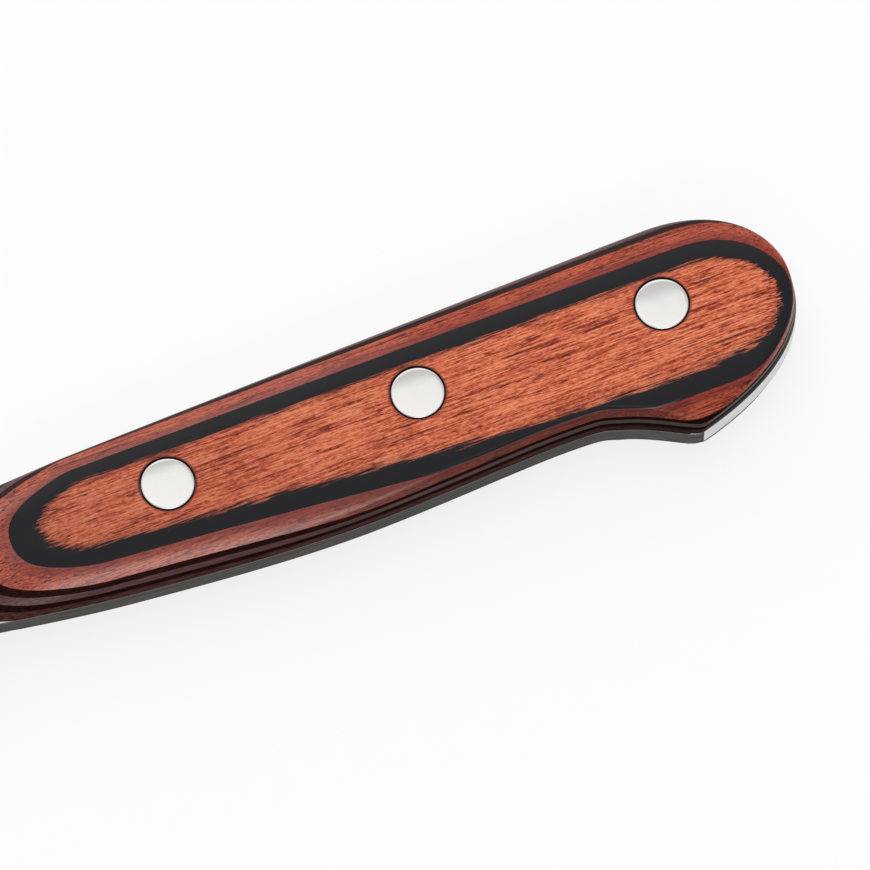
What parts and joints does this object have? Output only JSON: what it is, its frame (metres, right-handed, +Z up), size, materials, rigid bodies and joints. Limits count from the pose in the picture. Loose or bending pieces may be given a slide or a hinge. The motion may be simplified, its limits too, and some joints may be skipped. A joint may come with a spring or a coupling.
{
  "type": "kitchen utility knife",
  "caption": "Full-tang kitchen utility knife with a tapered steel blade and crowned scales of dyed laminated wood, with a finger hollow, a beaked butt and flush rivets.",
  "frame": {"origin": "middle of the bounding box in plan, on the plane that the knife lies on", "axes": "+X from the tip to the butt, +Y from the cutting edge to the spine, +Z up through the thickness, with the knife lying on its right-hand side"},
  "size_m": [0.2422, 0.0276, 0.0119],
  "materials": {
    "blade_steel": "satin ground",
    "rivet_steel": "fine satin",
    "wood_orange": "polished, resin filled",
    "wood_red": "polished, resin filled",
    "wood_brown": "polished, resin filled",
    "wood_black": "polished, resin filled"
  },
  "bodies": {
    "root": {"blade_with_tang": "blade_steel", "left_ply_1_brown": "wood_brown", "left_ply_2_black": "wood_black", "left_ply_3_red": "wood_red", "left_ply_4_black": "wood_black", "left_ply_5_orange": "wood_orange", "left_ply_6_black": "wood_black", "left_ply_7_orange": "wood_orange", "right_ply_1_brown": "wood_brown", "right_ply_2_black": "wood_black", "right_ply_3_red": "wood_red", "right_ply_4_black": "wood_black", "right_ply_5_orange": "wood_orange", "right_ply_6_black": "wood_black", "right_ply_7_orange": "wood_orange", "front_rivet_post": "rivet_steel", "front_rivet_sleeve": "rivet_steel", "middle_rivet_post": "rivet_steel", "middle_rivet_sleeve": "rivet_steel", "rear_rivet_post": "rivet_steel", "rear_rivet_sleeve": "rivet_steel"}
  },
  "joints": []
}
